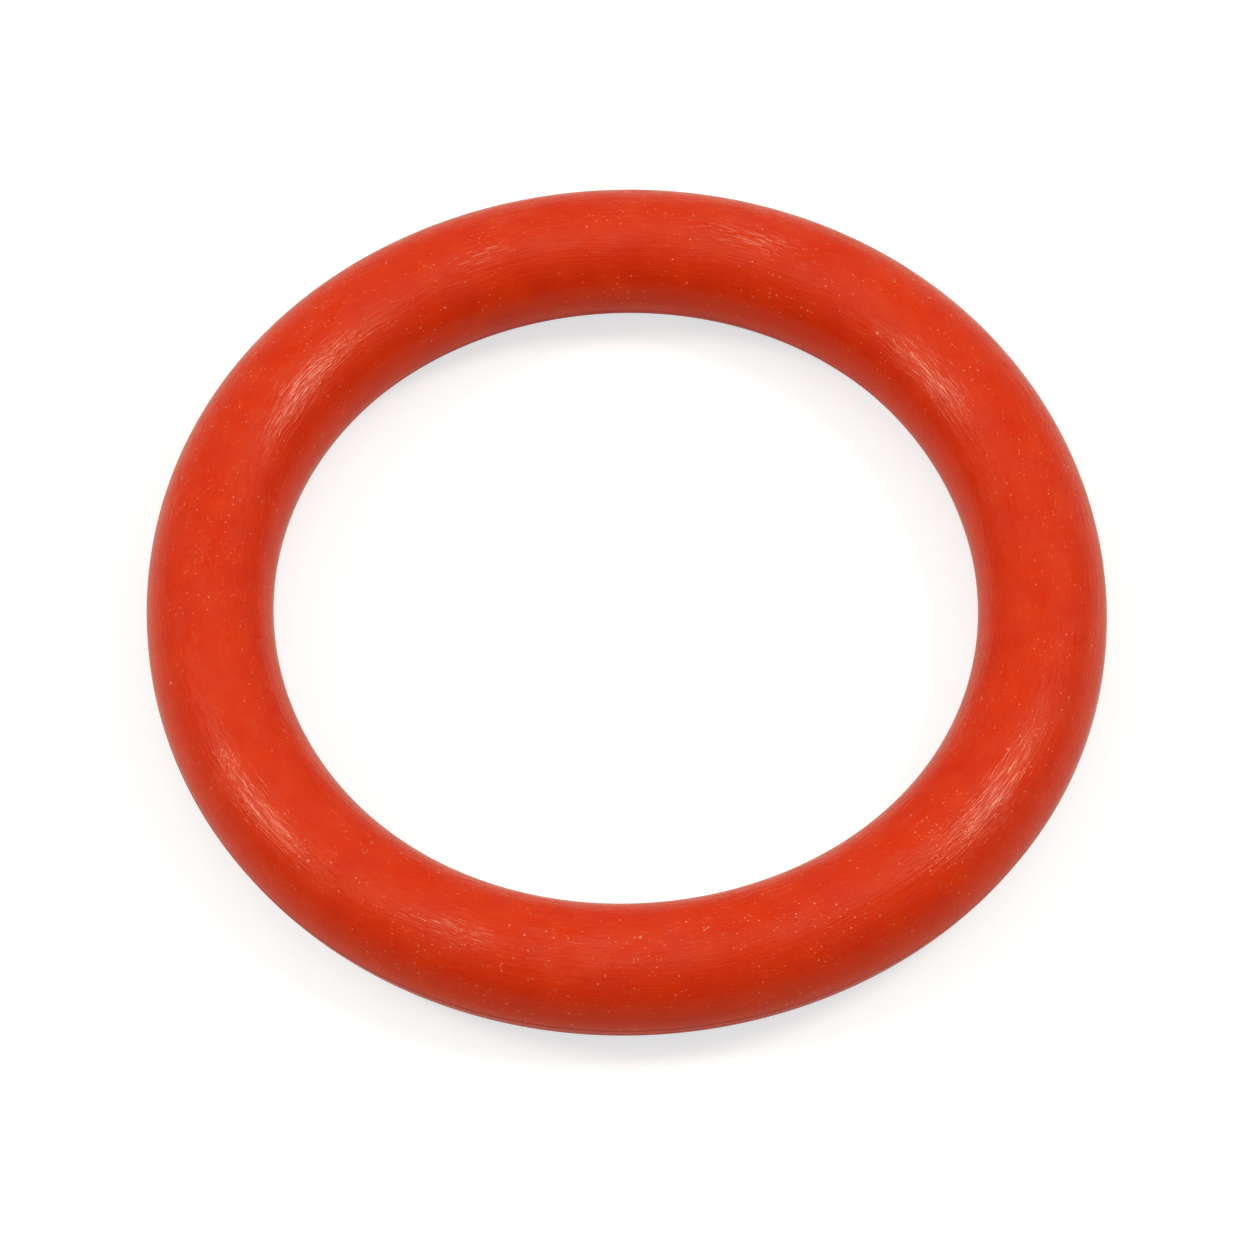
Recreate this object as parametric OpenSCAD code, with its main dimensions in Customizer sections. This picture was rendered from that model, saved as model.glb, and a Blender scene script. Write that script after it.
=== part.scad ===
// O-ring: a round-cord sealing ring, moulded in one piece and lying flat.
// Millimetres. The origin is the centre of the ring, and +Z is its axis.

/* [Ring] */
// Inside diameter of the ring when nothing stretches it
inside_d = 22; // [10:0.5:60]
// Diameter of the round cord
cord_d = 4; // [1.5:0.1:8]

/* [Parting line] */
// How far the trimmed flash stands proud of the cord, inside and outside the ring
flash_h = 0.05; // [0.02:0.01:0.15]
// Width of the trimmed flash, along the axis of the ring
flash_w = 0.15; // [0.1:0.05:0.4]

/* [Hidden] */

// Radius of the circle that the middle of the cord follows
cord_path_r = (inside_d + cord_d) / 2;
// Facets of the round forms in a preview
ring_facets = 180;
cord_facets = 72;

// Section through the cord: the round, and the flash that the two mould halves leave at its middle.
// The trimmed ends of the flash are straight, so they turn into narrow cylindrical lands.
module cord_section() {
    circle(d = cord_d, $fn = cord_facets);
    square([cord_d + 2 * flash_h, flash_w], center = true);
}

module o_ring() {
    color("orangered")
        rotate_extrude($fn = ring_facets)
            translate([cord_path_r, 0])
                cord_section();
}

o_ring();
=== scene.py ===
import math

import bpy
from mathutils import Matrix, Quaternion, Vector


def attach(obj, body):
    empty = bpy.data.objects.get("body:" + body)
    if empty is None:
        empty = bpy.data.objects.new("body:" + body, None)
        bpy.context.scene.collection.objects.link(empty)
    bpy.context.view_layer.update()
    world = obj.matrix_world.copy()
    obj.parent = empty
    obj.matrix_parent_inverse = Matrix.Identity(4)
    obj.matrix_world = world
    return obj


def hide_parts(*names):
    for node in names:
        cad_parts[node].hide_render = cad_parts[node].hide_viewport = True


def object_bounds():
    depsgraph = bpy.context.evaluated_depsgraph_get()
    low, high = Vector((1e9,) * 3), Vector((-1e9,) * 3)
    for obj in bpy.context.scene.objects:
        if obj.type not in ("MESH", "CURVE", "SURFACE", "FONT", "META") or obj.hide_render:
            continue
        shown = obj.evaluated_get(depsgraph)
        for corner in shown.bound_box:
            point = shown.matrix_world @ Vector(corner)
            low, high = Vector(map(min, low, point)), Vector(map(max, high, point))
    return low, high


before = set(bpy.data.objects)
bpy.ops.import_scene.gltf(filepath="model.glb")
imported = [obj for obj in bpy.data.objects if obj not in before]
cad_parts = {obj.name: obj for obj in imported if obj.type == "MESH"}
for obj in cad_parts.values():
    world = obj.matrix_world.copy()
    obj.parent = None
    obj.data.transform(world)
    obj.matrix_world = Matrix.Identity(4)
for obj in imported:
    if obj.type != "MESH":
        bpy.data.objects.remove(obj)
CAD_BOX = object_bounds()

MM = 0.001

# The ring, in millimetres: the middle of the cord follows a circle
CORD_PATH_R = 13.0
CORD_D = 3.993

# The parting line, round the inside and the outside below the widest point: a low bead of trimmed
# flash, and below it a ledge, because the lower half of the mould is a touch smaller. It lies lower on
# the inside, because the cord has rolled a few degrees
FLASH_H = 0.012
FLASH_W = 0.10
LEDGE = 0.028
LEDGE_SOFTNESS = 0.05
OUTER_LINE_DROP = 0.15
INNER_LINE_DROP = 0.50
# Share of the cord's radius on either side of the crown over which the outside turns into the inside
CROWN_SHARE = 0.3

# Soft rubber never lies perfectly round: how far the cord strays from its circle, as a gentle
# square and a slighter triangle, and the direction in degrees in which each first stands out
SQUARE_STRAY = 0.039
SQUARE_TURN = 54
TRIANGLE_STRAY = 0.015
TRIANGLE_TURN = -33

# Nor is the cord quite even: its share of extra thickness on one side of the ring, and on two
# opposite sides, and the directions in degrees of those sides
ONE_SIDE_EXTRA = 0.0070
ONE_SIDE_TURN = -9
TWO_SIDE_EXTRA = 0.0059
TWO_SIDE_TURN = -58

STEPS_ROUND_RING = 360
STEPS_ROUND_CORD = 240
# Share by which the steps round the cord crowd towards the parting line, where the detail is
CROWDING = 0.9

RING_SIZES = {
    "Path radius": CORD_PATH_R * MM,
    "Cord radius": CORD_D / 2 * MM,
    "Flash height": FLASH_H * MM,
    "Flash width": FLASH_W * MM,
    "Ledge": LEDGE * MM,
    "Ledge softness": LEDGE_SOFTNESS * MM,
    "Outer line drop": OUTER_LINE_DROP * MM,
    "Inner line drop": INNER_LINE_DROP * MM,
    "Crown share": CROWN_SHARE,
    "Square stray": SQUARE_STRAY * MM,
    "Square turn": math.radians(SQUARE_TURN),
    "Triangle stray": TRIANGLE_STRAY * MM,
    "Triangle turn": math.radians(TRIANGLE_TURN),
    "One side extra": ONE_SIDE_EXTRA,
    "One side turn": math.radians(ONE_SIDE_TURN),
    "Two side extra": TWO_SIDE_EXTRA,
    "Two side turn": math.radians(TWO_SIDE_TURN),
    "Table height": CAD_BOX[0][2],
    "Crowding": CROWDING,
    "Steps round ring": STEPS_ROUND_RING,
    "Steps round cord": STEPS_ROUND_CORD,
}

# Colours of the rubber, which is mottled between two reds, of what lies on it, and of the painted shade in
# the crease at the parting line. The dust colour also paints highlight streaks, and the bloom colour some
# sheen
DEEP_RED = "#D12600"
LIGHT_RED = "#DD3500"
BLOOM_AND_SHEEN_COLOUR = "#F2D0B4"
CREASE_SHADE_COLOUR = "#9A1800"
DUST_AND_GLINT_COLOUR = "#F2A992"

# Silicone's own refraction, and the level and tint that dull its shine, because its skin is never as
# clean as glass
REFRACTION = 1.41
SHINE_LEVEL = 0.34
SHINE_TINT = "#FFE8D0"

# The marks that the turned mould left along the cord, in millimetres: how long and how far apart its fine
# ridges and the slower waves under them are, how high, and how far they wander sideways
RIDGE_LENGTH = 1.3
RIDGE_PITCH = 0.09
RIDGE_H = 0.017
RIDGE_WANDER = 0.15
WAVE_LENGTH = 7.0
WAVE_PITCH = 0.20
WAVE_H = 0.013
WAVE_WANDER = 0.10
# They fade from the crown down to the flanks, between these heights over the cord's middle, to a share
MARKS_FULL_FROM = 1.4
MARKS_FADED_AT = 0.7
FLANK_MARKS = 0.1

# Roughness of the rubber on the flanks, on the crown, and on the crown's polished streaks, and the
# heights in millimetres over the cord's middle between which the flanks' turns into the crown's
FLANK_ROUGHNESS = 0.20
CROWN_ROUGHNESS = 0.45
STREAK_ROUGHNESS = 0.08
SATIN_FROM = 0.3
SATIN_FULL = 1.5

# Sizes of the patches in millimetres: clouds in the colour, places where bloom is thick and how far
# they wander sideways, and dust
CLOUD_SIZE = 2.0
BLOOM_LENGTH = 2.6
BLOOM_WIDTH = 1.1
BLOOM_WANDER = 0.3
DUST_PATCH = 4.0
# How far in millimetres it is between one sideways wander of the marks and the next
WANDER_PITCH = 4.5

# Share of the colour that bloom covers on the crown, and what a rubbed place adds, which is painted sheen
# in the places where the softboxes' highlights fall. Its streaks have between the least and the most times
# that much. It starts and is full at these heights in millimetres over the cord's middle
CROWN_BLOOM = 0.024
RUBBED_AND_GLINT_BLOOM = 0.015
STREAK_LEAST = 0.2
STREAK_MOST = 1.8
BLOOM_FROM = 0.9
BLOOM_FULL = 2.0

# Levels of noise between which each pattern goes from none to full: the mottle of the colour, the
# polished streaks, and the streaks and patches of bloom
MOTTLE_LEVELS = (0.22, 0.78)
POLISH_LEVELS = (0.42, 0.58)
BLOOM_STREAK_LEVELS = (0.35, 0.65)
BLOOM_PATCH_LEVELS = (0.33, 0.70)

# The painted shade in the crease at the parting line, in millimetres off the line: how far it is full and
# where it ends, and the share of the colour that it covers
CREASE_FULL = 0.02
CREASE_END = 0.07
CREASE_COVER = 0.75

# Places on the crown that were rubbed, then places where the softboxes' highlights fall, whose pale streaks
# are painted highlight, and places where dust gathered: direction in degrees, how far out from the cord's
# path, half the length and half the width in millimetres, and strength. Each is at its strength in this
# share of its size round its middle
PLACE_CORE = 0.1
RUBBED_AND_GLINT_PLACES = ((72, -0.2, 3.4, 1.0, 1.0),
          (112, -0.6, 2.5, 0.8, 0.8),
          (247, 0.6, 2.8, 0.9, 0.9),
          (262, 0.1, 3.0, 1.2, 0.5),
          # Where the softboxes' highlights fall: the pale streaks here are painted highlight
          (36, -1.0, 3.0, 1.1, 1.0),
          (146, -0.8, 3.0, 1.0, 1.0),
          (211, 1.3, 2.4, 1.2, 1.0),
          (322, 1.1, 2.8, 1.1, 1.0))
DUSTY = ((173, 0.1, 4.0, 1.4, 1.0),
         (140, 0.9, 3.0, 1.2, 0.8),
         (14, 0.3, 3.0, 1.4, 0.8),
         (269, 0.5, 1.6, 1.2, 1.0),
         (296, 0.7, 1.6, 1.2, 1.0))

# Lint and fine talc: how far apart their spots are and the radius of the largest speck, in millimetres,
# and the share of those spots that have a speck where dust is thin and where it is thick
SPECKS = ((0.40, 0.070, 0.10, 0.8),
          (0.11, 0.046, 0.10, 1.0))
# What a dusty place adds to the chance of dust, and the chances at which dust is thin and thick
DUSTY_EXTRA = 0.2
DUST_THIN_AT = 0.45
DUST_THICK_AT = 0.68

# Scratches in millimetres, which also draw the painted highlight streaks. Real ones are a few times finer
# and wouldn't show
SCRATCH_LENGTH = 1.2
SCRATCH_PITCH = 0.035
SCRATCH_WANDER = 0.1
# How high the noise has to reach for a scratch on untouched rubber and in a rubbed place or a place of
# painted highlight streaks, how much higher for a full one, and how much a full one covers
UNTOUCHED_LEAST = 0.73
RUBBED_AND_GLINT_LEAST = 0.52
SCRATCH_EDGE = 0.08
SCRATCH_COVER = 0.6

# Blender's noise repeats its light and dark about every two units
NOISE_PITCH = 1.8

# The camera looks down on the ring from the near side, from far enough off to flatten it a little
CAMERA_DISTANCE = 195.1
CAMERA_ELEVATION = 59.64
CAMERA_AIM = (0.023, -1.00, 0.0)
CAMERA_ROLL = -0.23
LENS = 179.58
SENSOR = 36

# The light is a slightly warm white. Each softbox has its place and size in millimetres, and its watts
LIGHT_COLOUR = "#FFFBF0"
SOFTBOXES = (("left softbox", (-272, 8, 288), 110, 0.50),
             ("right softbox", (228, 40, 328), 110, 0.56),
             ("overhead softbox", (0, 20, 500), 400, 0.44))
# How strong the surroundings are towards the low front and towards the high back. A direction's mean of
# up and back goes from minus to plus this share while the one turns into the other
FRONT_STRENGTH = 0.19
BACK_STRENGTH = 0.44
TURNING_SHARE = 0.42

# Half the side of the table in millimetres, the colour of its laminate, and the colours that the camera
# sees it in instead: one that takes the shadow, and a glow that makes up the rest of its white. The
# ring's gloss sees this share of that white
TABLE_HALF = 500
LAMINATE_COLOUR = "#E2DFD2"
SHADOWED_COLOUR = "#BABABA"
GLOW_COLOUR = "#F5FDFF"
GLOW_STRENGTH = 0.68
MIRRORED_SHARE = 0.10


def linear(hex_colour):
    """An sRGB hex colour as the linear RGBA that a node takes."""
    shares = [int(hex_colour[i:i + 2], 16) / 255 for i in (1, 3, 5)]
    return [s / 12.92 if s <= 0.04045 else ((s + 0.055) / 1.055) ** 2.4 for s in shares] + [1.0]


def add(tree, kind, inputs=(), **settings):
    """Adds a node. Its inputs are named in a dictionary or listed in their order, and each is a value,
    another node (its first output) or one of its output sockets."""
    node = tree.nodes.new(kind)
    for name, value in settings.items():
        setattr(node, name, value)
    for key, value in inputs.items() if isinstance(inputs, dict) else enumerate(inputs):
        if isinstance(value, bpy.types.Node):
            tree.links.new(value.outputs[0], node.inputs[key])
        elif isinstance(value, bpy.types.NodeSocket):
            tree.links.new(value, node.inputs[key])
        else:
            node.inputs[key].default_value = value
    return node


def camera():
    elevation = math.radians(CAMERA_ELEVATION)
    place = Vector((0, -math.cos(elevation), math.sin(elevation))) * CAMERA_DISTANCE * MM
    aim = Vector(CAMERA_AIM) * MM - place
    data = bpy.data.cameras.new("camera")
    data.lens = LENS
    data.sensor_width = SENSOR
    data.clip_start = 0.01
    data.clip_end = 10
    looker = bpy.data.objects.new("camera", data)
    looker.location = place
    roll = Quaternion((0, 0, 1), math.radians(CAMERA_ROLL))
    looker.rotation_euler = (aim.to_track_quat("-Z", "Y") @ roll).to_euler()
    bpy.context.scene.collection.objects.link(looker)
    bpy.context.scene.camera = looker


def swell(tree, around, sizes, name, waves):
    """A wave round the ring: the named size times the cosine of its waves, counted from its turn."""
    turn = sizes[name.rsplit(" ", 1)[0] + " turn"]
    turned = add(tree, "ShaderNodeMath", [around, turn], operation="SUBTRACT")
    waved = add(tree, "ShaderNodeMath", [turned, waves], operation="MULTIPLY")
    wave = add(tree, "ShaderNodeMath", [waved], operation="COSINE")
    return add(tree, "ShaderNodeMath", [wave, sizes[name]], operation="MULTIPLY")


def cord_path(tree, sizes):
    """The line that the middle of the cord follows: nearly a circle, with the cord's thickness on it,
    and as high as the cord has to be for its underside to lie on the table."""
    circle = add(tree, "GeometryNodeCurvePrimitiveCircle",
                 {"Resolution": sizes["Steps round ring"], "Radius": sizes["Path radius"]})
    place = add(tree, "GeometryNodeInputPosition")
    parts = add(tree, "ShaderNodeSeparateXYZ", [place])
    around = add(tree, "ShaderNodeMath", [parts.outputs["Y"], parts.outputs["X"]], operation="ARCTAN2")
    square = swell(tree, around, sizes, "Square stray", 4)
    triangle = swell(tree, around, sizes, "Triangle stray", 3)
    strayed = add(tree, "ShaderNodeMath", [square, triangle], operation="ADD")
    outward = add(tree, "ShaderNodeVectorMath", [place], operation="NORMALIZE")
    stray = add(tree, "ShaderNodeVectorMath", {0: outward, "Scale": strayed}, operation="SCALE")

    one_side = swell(tree, around, sizes, "One side extra", 1)
    two_sides = swell(tree, around, sizes, "Two side extra", 2)
    extra = add(tree, "ShaderNodeMath", [one_side, two_sides], operation="ADD")
    thickness = add(tree, "ShaderNodeMath", [extra, 1], operation="ADD")
    height = add(tree, "ShaderNodeMath", [thickness, sizes["Cord radius"], sizes["Table height"]],
                 operation="MULTIPLY_ADD")
    lift = add(tree, "ShaderNodeCombineXYZ", {"Z": height})
    offset = add(tree, "ShaderNodeVectorMath", [stray, lift], operation="ADD")
    laid = add(tree, "GeometryNodeSetPosition", {"Geometry": circle, "Offset": offset})
    return add(tree, "GeometryNodeSetCurveRadius", {"Curve": laid, "Radius": thickness})


def cord_section(tree, sizes):
    """The cord's round section with its parting line. Its Y is depth, because the sweep points it
    downwards, and its steps crowd towards the line."""
    circle = add(tree, "GeometryNodeCurvePrimitiveCircle",
                 {"Resolution": sizes["Steps round cord"], "Radius": sizes["Cord radius"]})
    index = add(tree, "GeometryNodeInputIndex")
    share = add(tree, "ShaderNodeMath", [index, sizes["Steps round cord"]], operation="DIVIDE")
    turn = add(tree, "ShaderNodeMath", [share, math.tau], operation="MULTIPLY")
    twice = add(tree, "ShaderNodeMath", [turn, 2], operation="MULTIPLY")
    ripple = add(tree, "ShaderNodeMath", [twice], operation="SINE")
    gather = add(tree, "ShaderNodeMath", [sizes["Crowding"], -0.5], operation="MULTIPLY")
    crowded = add(tree, "ShaderNodeMath", [ripple, gather, turn], operation="MULTIPLY_ADD")
    reach = add(tree, "ShaderNodeMath", [crowded], operation="COSINE")
    inward = add(tree, "ShaderNodeMath", [sizes["Crown share"], -1], operation="MULTIPLY")
    line_drop = add(tree, "ShaderNodeMapRange",
                    {"Value": reach, "From Min": inward, "From Max": sizes["Crown share"],
                     "To Min": sizes["Inner line drop"], "To Max": sizes["Outer line drop"]},
                    interpolation_type="SMOOTHSTEP")
    drop = add(tree, "ShaderNodeMath", [line_drop, sizes["Cord radius"]], operation="DIVIDE")
    drop_angle = add(tree, "ShaderNodeMath", [drop], operation="ARCSINE")
    angle = add(tree, "ShaderNodeMath", [reach, drop_angle, crowded], operation="MULTIPLY_ADD")
    across = add(tree, "ShaderNodeMath", [angle], operation="COSINE")
    down = add(tree, "ShaderNodeMath", [angle], operation="SINE")
    side = add(tree, "ShaderNodeMath", [across, sizes["Cord radius"]], operation="MULTIPLY")
    depth = add(tree, "ShaderNodeMath", [down, sizes["Cord radius"]], operation="MULTIPLY")

    # Outwards on the outside of the ring and inwards on its inside, but not on the crown and the sole
    outward = add(tree, "ShaderNodeMapRange",
                  {"Value": across, "From Min": inward, "From Max": sizes["Crown share"], "To Min": -1.0,
                   "To Max": 1.0}, interpolation_type="SMOOTHSTEP")
    below_line = add(tree, "ShaderNodeMath", [depth, line_drop], operation="SUBTRACT")
    off_line = add(tree, "ShaderNodeMath", [below_line], operation="ABSOLUTE")
    bead = add(tree, "ShaderNodeMapRange",
               {"Value": off_line, "From Max": sizes["Flash width"], "To Min": sizes["Flash height"],
                "To Max": 0.0}, interpolation_type="SMOOTHSTEP")
    step = add(tree, "ShaderNodeMapRange",
               {"Value": below_line, "From Max": sizes["Ledge softness"], "To Max": sizes["Ledge"]},
               interpolation_type="SMOOTHSTEP")
    proud = add(tree, "ShaderNodeMath", [bead, step], operation="SUBTRACT")
    edged = add(tree, "ShaderNodeMath", [outward, proud, side], operation="MULTIPLY_ADD")
    point = add(tree, "ShaderNodeCombineXYZ", {"X": edged, "Y": depth})
    return add(tree, "GeometryNodeSetPosition", {"Geometry": circle, "Position": point})


def ring_tree(material):
    """The whole ring: the section swept along the path."""
    tree = bpy.data.node_groups.new("moulded ring", "GeometryNodeTree")
    for name, value in RING_SIZES.items():
        kind = "NodeSocketInt" if isinstance(value, int) else "NodeSocketFloat"
        tree.interface.new_socket(name, in_out="INPUT", socket_type=kind)
    tree.interface.new_socket("Ring", in_out="OUTPUT", socket_type="NodeSocketGeometry")
    sizes = add(tree, "NodeGroupInput").outputs
    thickness = add(tree, "GeometryNodeInputRadius")
    swept = add(tree, "GeometryNodeCurveToMesh",
                {"Curve": cord_path(tree, sizes), "Profile Curve": cord_section(tree, sizes),
                 "Scale": thickness})
    smooth = add(tree, "GeometryNodeSetShadeSmooth", {"Geometry": swept})
    real = add(tree, "GeometryNodeRealizeInstances", {"Geometry": smooth})
    finished = add(tree, "GeometryNodeSetMaterial", {"Geometry": real, "Material": material})
    add(tree, "NodeGroupOutput", {"Ring": finished})
    return tree


def o_ring(material):
    """The moulded ring as one plain mesh."""
    maker = bpy.data.objects.new("ring maker", bpy.data.meshes.new("ring maker"))
    bpy.context.scene.collection.objects.link(maker)
    modifier = maker.modifiers.new("moulded ring", "NODES")
    modifier.node_group = ring_tree(material)
    for item in modifier.node_group.interface.items_tree:
        if item.in_out == "INPUT":
            modifier[item.identifier] = RING_SIZES[item.name]
    bpy.context.view_layer.update()
    made = maker.evaluated_get(bpy.context.evaluated_depsgraph_get())
    mesh = bpy.data.meshes.new_from_object(made)
    mesh.name = "silicone_ring"
    ring = bpy.data.objects.new("silicone_ring", mesh)
    bpy.data.objects.remove(maker)
    bpy.context.scene.collection.objects.link(ring)
    return ring


def cord_spot(tree):
    """Where a point of the surface lies on the ring: its direction from the middle, and how far it is
    out from the cord's path and up from the middle plane, in millimetres."""
    place = add(tree, "ShaderNodeTexCoord").outputs["Object"]
    scaled = add(tree, "ShaderNodeVectorMath", {0: place, "Scale": 1 / MM}, operation="SCALE")
    parts = add(tree, "ShaderNodeSeparateXYZ", [scaled])
    flat = add(tree, "ShaderNodeCombineXYZ", {"X": parts.outputs["X"], "Y": parts.outputs["Y"]})
    reach = add(tree, "ShaderNodeVectorMath", [flat], operation="LENGTH").outputs["Value"]
    return {
        "place": scaled.outputs[0],
        "around": add(tree, "ShaderNodeVectorMath", [flat], operation="NORMALIZE").outputs[0],
        "out": add(tree, "ShaderNodeMath", [reach, CORD_PATH_R], operation="SUBTRACT").outputs[0],
        "up": parts.outputs["Z"],
    }


def drawn_out(tree, spot, length, pitch, detail=2.0, roughness=0.5, wander=0.0):
    """Noise drawn out along the cord: marks about so long and so far apart, in millimetres, which
    wander sideways by up to the given distance."""
    turn = add(tree, "ShaderNodeVectorMath", {0: spot["around"], "Scale": NOISE_PITCH * CORD_PATH_R / length},
               operation="SCALE")
    drift = add(tree, "ShaderNodeTexNoise", {"Vector": spot["place"], "Scale": NOISE_PITCH / WANDER_PITCH,
                                             "Detail": 1.0})
    shift = add(tree, "ShaderNodeMapRange", {"Value": drift, "To Min": -wander, "To Max": wander})
    out_shifted = add(tree, "ShaderNodeMath", [spot["out"], shift], operation="ADD")
    up_shifted = add(tree, "ShaderNodeMath", [spot["up"], shift], operation="ADD")
    out = add(tree, "ShaderNodeMath", [out_shifted, NOISE_PITCH / pitch], operation="MULTIPLY")
    up = add(tree, "ShaderNodeMath", [up_shifted, NOISE_PITCH / pitch], operation="MULTIPLY")
    across = add(tree, "ShaderNodeCombineXYZ", {"Z": out})
    vector = add(tree, "ShaderNodeVectorMath", [turn, across], operation="ADD")
    return add(tree, "ShaderNodeTexNoise",
               {"Vector": vector, "W": up, "Scale": 1.0, "Detail": detail, "Roughness": roughness},
               noise_dimensions="4D").outputs["Fac"]


def places(tree, spot, listed):
    """A mask of oval places on the crown: each fades from its strength in the middle to 0."""
    mask = None
    for degrees, out, length, width, strength in listed:
        angle = math.radians(degrees)
        reach = CORD_PATH_R + out
        middle = (reach * math.cos(angle), reach * math.sin(angle), CORD_D / 2)
        local = add(tree, "ShaderNodeMapping",
                    {"Vector": spot["place"], "Location": middle, "Rotation": (0, 0, angle),
                     "Scale": (width, length, width)}, vector_type="TEXTURE")
        away = add(tree, "ShaderNodeVectorMath", [local], operation="LENGTH").outputs["Value"]
        place = add(tree, "ShaderNodeMapRange", {"Value": away, "From Min": PLACE_CORE, "From Max": 1.0,
                                                 "To Min": strength, "To Max": 0.0})
        mask = place if mask is None else add(tree, "ShaderNodeMath", [mask, place], operation="MAXIMUM")
    return mask


def dust(tree, spot):
    """Specks of lint and talc, thick in places and thin in others: up to 1 on a speck, 0 beside it."""
    drifts = add(tree, "ShaderNodeTexNoise", {"Vector": spot["place"], "Scale": NOISE_PITCH / DUST_PATCH,
                                              "Detail": 4.0, "Roughness": 0.65})
    gathered = places(tree, spot, DUSTY)
    crowd = add(tree, "ShaderNodeMath", [gathered, DUSTY_EXTRA, drifts], operation="MULTIPLY_ADD")
    mask = None
    for apart, largest, thin, thick in SPECKS:
        specks = add(tree, "ShaderNodeTexVoronoi", {"Vector": spot["place"], "Scale": 1 / apart})
        dice = add(tree, "ShaderNodeSeparateColor", [specks.outputs["Color"]])
        reach = add(tree, "ShaderNodeMath", [dice.outputs["Red"], largest / apart], operation="MULTIPLY")
        speck = add(tree, "ShaderNodeMapRange",
                    {"Value": specks.outputs["Distance"], "From Max": reach, "To Min": 1.0, "To Max": 0.0},
                    interpolation_type="SMOOTHSTEP")
        chance = add(tree, "ShaderNodeMapRange", {"Value": crowd, "From Min": DUST_THIN_AT,
                                                  "From Max": DUST_THICK_AT, "To Min": thin, "To Max": thick})
        fallen = add(tree, "ShaderNodeMath", [dice.outputs["Blue"], chance], operation="LESS_THAN")
        faint = add(tree, "ShaderNodeMath", [dice.outputs["Green"], fallen], operation="MULTIPLY")
        kept = add(tree, "ShaderNodeMath", [speck, faint], operation="MULTIPLY")
        mask = kept if mask is None else add(tree, "ShaderNodeMath", [mask, kept], operation="MAXIMUM")
    return mask


def scratches_and_painted_glints(tree, spot, rubbed_or_glint):
    """Fine pale scratch lines along the cord, thick in worn places and very few elsewhere. In the places
    where the softboxes' highlights fall they are painted highlight streaks.
    """
    noise = drawn_out(tree, spot, SCRATCH_LENGTH, SCRATCH_PITCH, roughness=0.6, wander=SCRATCH_WANDER)
    least = add(tree, "ShaderNodeMapRange", {"Value": rubbed_or_glint, "To Min": UNTOUCHED_LEAST,
                                             "To Max": RUBBED_AND_GLINT_LEAST})
    full = add(tree, "ShaderNodeMath", [least, SCRATCH_EDGE], operation="ADD")
    return add(tree, "ShaderNodeMapRange", {"Value": noise, "From Min": least, "From Max": full,
                                            "To Max": SCRATCH_COVER})


def mould_marks(tree, spot, marked):
    """How far the mould's fine ridges and slower waves stand out, in millimetres."""
    ridges = drawn_out(tree, spot, RIDGE_LENGTH, RIDGE_PITCH, wander=RIDGE_WANDER)
    waves = drawn_out(tree, spot, WAVE_LENGTH, WAVE_PITCH, detail=1.0, wander=WAVE_WANDER)
    fine = add(tree, "ShaderNodeMath", [ridges, RIDGE_H], operation="MULTIPLY")
    height = add(tree, "ShaderNodeMath", [waves, WAVE_H, fine], operation="MULTIPLY_ADD")
    return add(tree, "ShaderNodeMath", [height, marked], operation="MULTIPLY")


def skin_roughness(tree, spot, marked, polish):
    """Smooth flanks and a satin crown, which is polished in streaks."""
    low, high = POLISH_LEVELS
    polished = add(tree, "ShaderNodeMapRange", {"Value": polish, "From Min": low, "From Max": high})
    streaks = add(tree, "ShaderNodeMath", [polished, marked], operation="MULTIPLY")
    satin = add(tree, "ShaderNodeMapRange",
                {"Value": spot["up"], "From Min": SATIN_FROM, "From Max": SATIN_FULL,
                 "To Min": FLANK_ROUGHNESS, "To Max": CROWN_ROUGHNESS})
    return add(tree, "ShaderNodeMapRange", {"Value": streaks, "To Min": satin, "To Max": STREAK_ROUGHNESS})


def bloom_and_sheen(tree, spot, rubbed_or_glint, polish):
    """A breath of pale powder on what faces up, in patches and streaks, with painted sheen added where the
    softboxes' highlights fall: the share that it covers.
    """
    crown = add(tree, "ShaderNodeMapRange",
                {"Value": spot["up"], "From Min": BLOOM_FROM, "From Max": BLOOM_FULL,
                 "To Max": CROWN_BLOOM}, interpolation_type="SMOOTHSTEP")
    thick = add(tree, "ShaderNodeMath", [rubbed_or_glint, RUBBED_AND_GLINT_BLOOM, crown], operation="MULTIPLY_ADD")
    low, high = BLOOM_STREAK_LEVELS
    streaks = add(tree, "ShaderNodeMapRange", {"Value": polish, "From Min": low, "From Max": high,
                                               "To Min": STREAK_LEAST, "To Max": STREAK_MOST})
    patches = drawn_out(tree, spot, BLOOM_LENGTH, BLOOM_WIDTH, detail=4.0, roughness=0.65,
                        wander=BLOOM_WANDER)
    low, high = BLOOM_PATCH_LEVELS
    patchy = add(tree, "ShaderNodeMapRange", {"Value": patches, "From Min": low, "From Max": high})
    streaked = add(tree, "ShaderNodeMath", [thick, streaks], operation="MULTIPLY")
    return add(tree, "ShaderNodeMath", [streaked, patchy], operation="MULTIPLY")


def crease(tree, spot):
    """The crease at the parting line, darkened with painted shade: the share of the colour that it covers."""
    turn = CROWN_SHARE * CORD_D / 2
    line_drop = add(tree, "ShaderNodeMapRange",
                    {"Value": spot["out"], "From Min": -turn, "From Max": turn, "To Min": INNER_LINE_DROP,
                     "To Max": OUTER_LINE_DROP}, interpolation_type="SMOOTHSTEP")
    from_line = add(tree, "ShaderNodeMath", [spot["up"], line_drop], operation="ADD")
    off_line = add(tree, "ShaderNodeMath", [from_line], operation="ABSOLUTE")
    return add(tree, "ShaderNodeMapRange",
               {"Value": off_line, "From Min": CREASE_FULL, "From Max": CREASE_END,
                "To Min": CREASE_COVER, "To Max": 0.0}, interpolation_type="SMOOTHSTEP")


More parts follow.
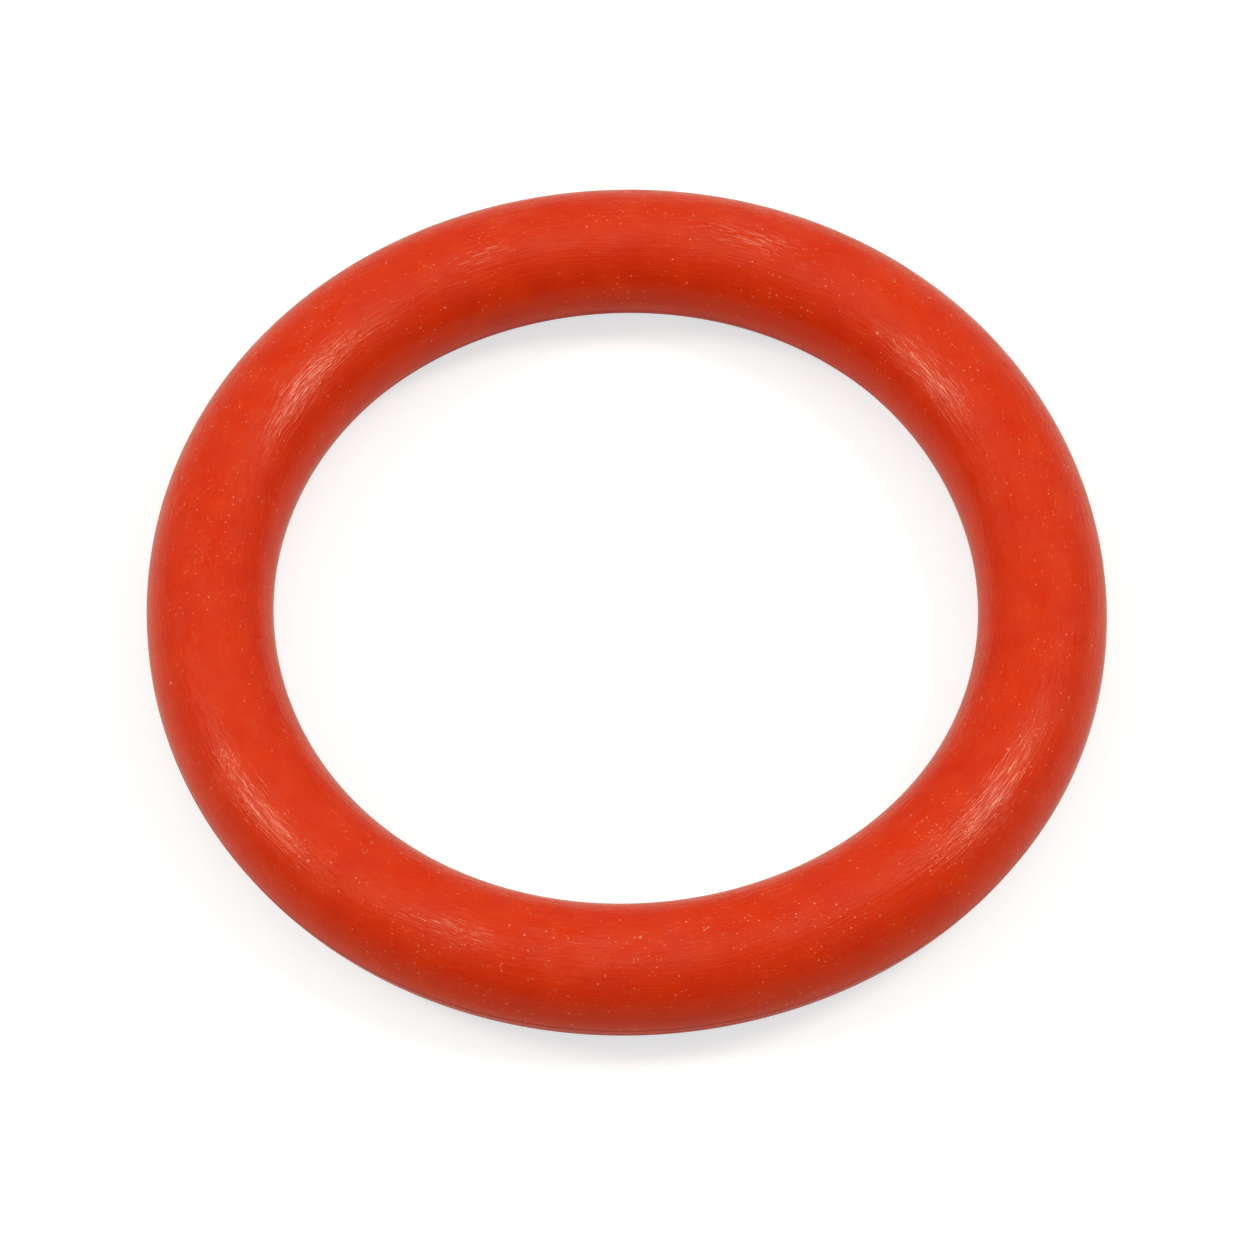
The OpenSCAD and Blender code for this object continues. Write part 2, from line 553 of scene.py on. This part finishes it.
def silicone_rubber():
    """Silicone rubber, coloured right through and compression-moulded in a turned mould. To the eye it is
    a soft red-orange satin with fine ridges along the crown, smooth flanks that shine towards their
    edges, and a pale powdery film on what faces up. Painted shade darkens the crease at the parting line,
    and pale streaks painted where the softboxes' highlights fall stand in for their glints."""
    material = bpy.data.materials.new("silicone_rubber")
    material.use_nodes = True
    tree = material.node_tree
    tree.nodes.clear()
    spot = cord_spot(tree)
    marked = add(tree, "ShaderNodeMapRange",
                 {"Value": spot["up"], "From Min": MARKS_FADED_AT, "From Max": MARKS_FULL_FROM,
                  "To Min": FLANK_MARKS}, interpolation_type="SMOOTHSTEP")
    polish = drawn_out(tree, spot, RIDGE_LENGTH, RIDGE_PITCH, roughness=0.6, wander=RIDGE_WANDER)
    rubbed_or_glint = places(tree, spot, RUBBED_AND_GLINT_PLACES)
    relief = add(tree, "ShaderNodeBump", {"Strength": 1.0, "Distance": MM,
                                          "Height": mould_marks(tree, spot, marked)})

    clouds = add(tree, "ShaderNodeTexNoise", {"Vector": spot["place"], "Scale": NOISE_PITCH / CLOUD_SIZE,
                                              "Detail": 4.0, "Roughness": 0.6})
    low, high = MOTTLE_LEVELS
    mottle = add(tree, "ShaderNodeMapRange", {"Value": clouds, "From Min": low, "From Max": high})
    rubber = add(tree, "ShaderNodeMix", {"Factor": mottle, "A": linear(DEEP_RED), "B": linear(LIGHT_RED)},
                 data_type="RGBA")
    # Bloom, with painted sheen where the softboxes' highlights fall
    bloomed_and_sheened = add(tree, "ShaderNodeMix",
                  {"Factor": bloom_and_sheen(tree, spot, rubbed_or_glint, polish), "A": rubber.outputs["Result"],
                   "B": linear(BLOOM_AND_SHEEN_COLOUR)}, data_type="RGBA")
    # Painted shade in the crease at the parting line
    creased = add(tree, "ShaderNodeMix",
                  {"Factor": crease(tree, spot), "A": bloomed_and_sheened.outputs["Result"],
                   "B": linear(CREASE_SHADE_COLOUR)}, data_type="RGBA")
    # Dust, scratch lines, and painted highlight streaks where the softboxes' highlights fall
    marks = add(tree, "ShaderNodeMath", [dust(tree, spot), scratches_and_painted_glints(tree, spot, rubbed_or_glint)],
                operation="MAXIMUM")
    dust_and_glint_coloured = add(tree, "ShaderNodeMix", {"Factor": marks, "A": creased.outputs["Result"],
                                        "B": linear(DUST_AND_GLINT_COLOUR)}, data_type="RGBA")

    surface = add(tree, "ShaderNodeBsdfPrincipled",
                  {"Base Color": dust_and_glint_coloured.outputs["Result"], "IOR": REFRACTION,
                   "Roughness": skin_roughness(tree, spot, marked, polish),
                   "Specular IOR Level": SHINE_LEVEL, "Specular Tint": linear(SHINE_TINT),
                   "Normal": relief})
    add(tree, "ShaderNodeOutputMaterial", {"Surface": surface})
    return material


def floor():
    """A table of matt white laminate, which takes a soft shadow and mirrors nothing. The camera sees it
    shadowed but otherwise full white, and the ring's gloss sees a small share of that white."""
    material = bpy.data.materials.new("white_table")
    material.use_nodes = True
    tree = material.node_tree
    tree.nodes.clear()
    path = add(tree, "ShaderNodeLightPath").outputs
    mirrored = add(tree, "ShaderNodeMath", [path["Is Glossy Ray"], MIRRORED_SHARE], operation="MULTIPLY")
    seen_or_mirrored = add(tree, "ShaderNodeMath", [path["Is Camera Ray"], mirrored], operation="MAXIMUM")
    whitened = add(tree, "ShaderNodeMath", [seen_or_mirrored, path["Is Transmission Ray"]],
                   operation="MAXIMUM")
    laminate = add(tree, "ShaderNodeBsdfDiffuse", {"Color": linear(LAMINATE_COLOUR)})
    shadowed = add(tree, "ShaderNodeBsdfDiffuse", {"Color": linear(SHADOWED_COLOUR)})
    glow = add(tree, "ShaderNodeEmission", {"Color": linear(GLOW_COLOUR), "Strength": GLOW_STRENGTH})
    white = add(tree, "ShaderNodeAddShader", [shadowed, glow])
    surface = add(tree, "ShaderNodeMixShader", [whitened, laminate, white])
    add(tree, "ShaderNodeOutputMaterial", {"Surface": surface})
    half = TABLE_HALF * MM
    low = CAD_BOX[0][2]
    mesh = bpy.data.meshes.new("table")
    mesh.from_pydata([(-half, -half, low), (half, -half, low), (half, half, low), (-half, half, low)],
                     [], [(0, 1, 2, 3)])
    mesh.materials.append(material)
    table = bpy.data.objects.new("table", mesh)
    bpy.context.scene.collection.objects.link(table)


def softbox(name, place, size, watts):
    """A square lamp, turned to face the ring. Place and size are in millimetres."""
    data = bpy.data.lights.new(name, "AREA")
    data.size = size * MM
    data.energy = watts
    data.color = linear(LIGHT_COLOUR)[:3]
    lamp = bpy.data.objects.new(name, data)
    lamp.location = Vector(place) * MM
    lamp.rotation_euler = (-lamp.location).to_track_quat("-Z", "Y").to_euler()
    bpy.context.scene.collection.objects.link(lamp)


def surroundings():
    """A white studio that is light overhead and at the back, and dim in front."""
    world = bpy.data.worlds.new("white studio")
    bpy.context.scene.world = world
    world.use_nodes = True
    tree = world.node_tree
    tree.nodes.clear()
    direction = add(tree, "ShaderNodeTexCoord").outputs["Generated"]
    up_and_back = add(tree, "ShaderNodeVectorMath", [direction, (0, 0.5, 0.5)], operation="DOT_PRODUCT")
    strength = add(tree, "ShaderNodeMapRange",
                   {"Value": up_and_back.outputs["Value"], "From Min": -TURNING_SHARE,
                    "From Max": TURNING_SHARE, "To Min": FRONT_STRENGTH, "To Max": BACK_STRENGTH})
    studio = add(tree, "ShaderNodeBackground", {"Color": linear(LIGHT_COLOUR), "Strength": strength})
    add(tree, "ShaderNodeOutputWorld", {"Surface": studio})


camera()
surroundings()
floor()
for name, place, size, watts in SOFTBOXES:
    softbox(name, place, size, watts)
ring = o_ring(silicone_rubber())
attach(ring, "root")
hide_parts("o_ring")

bpy.context.scene.view_settings.view_transform = "Standard"
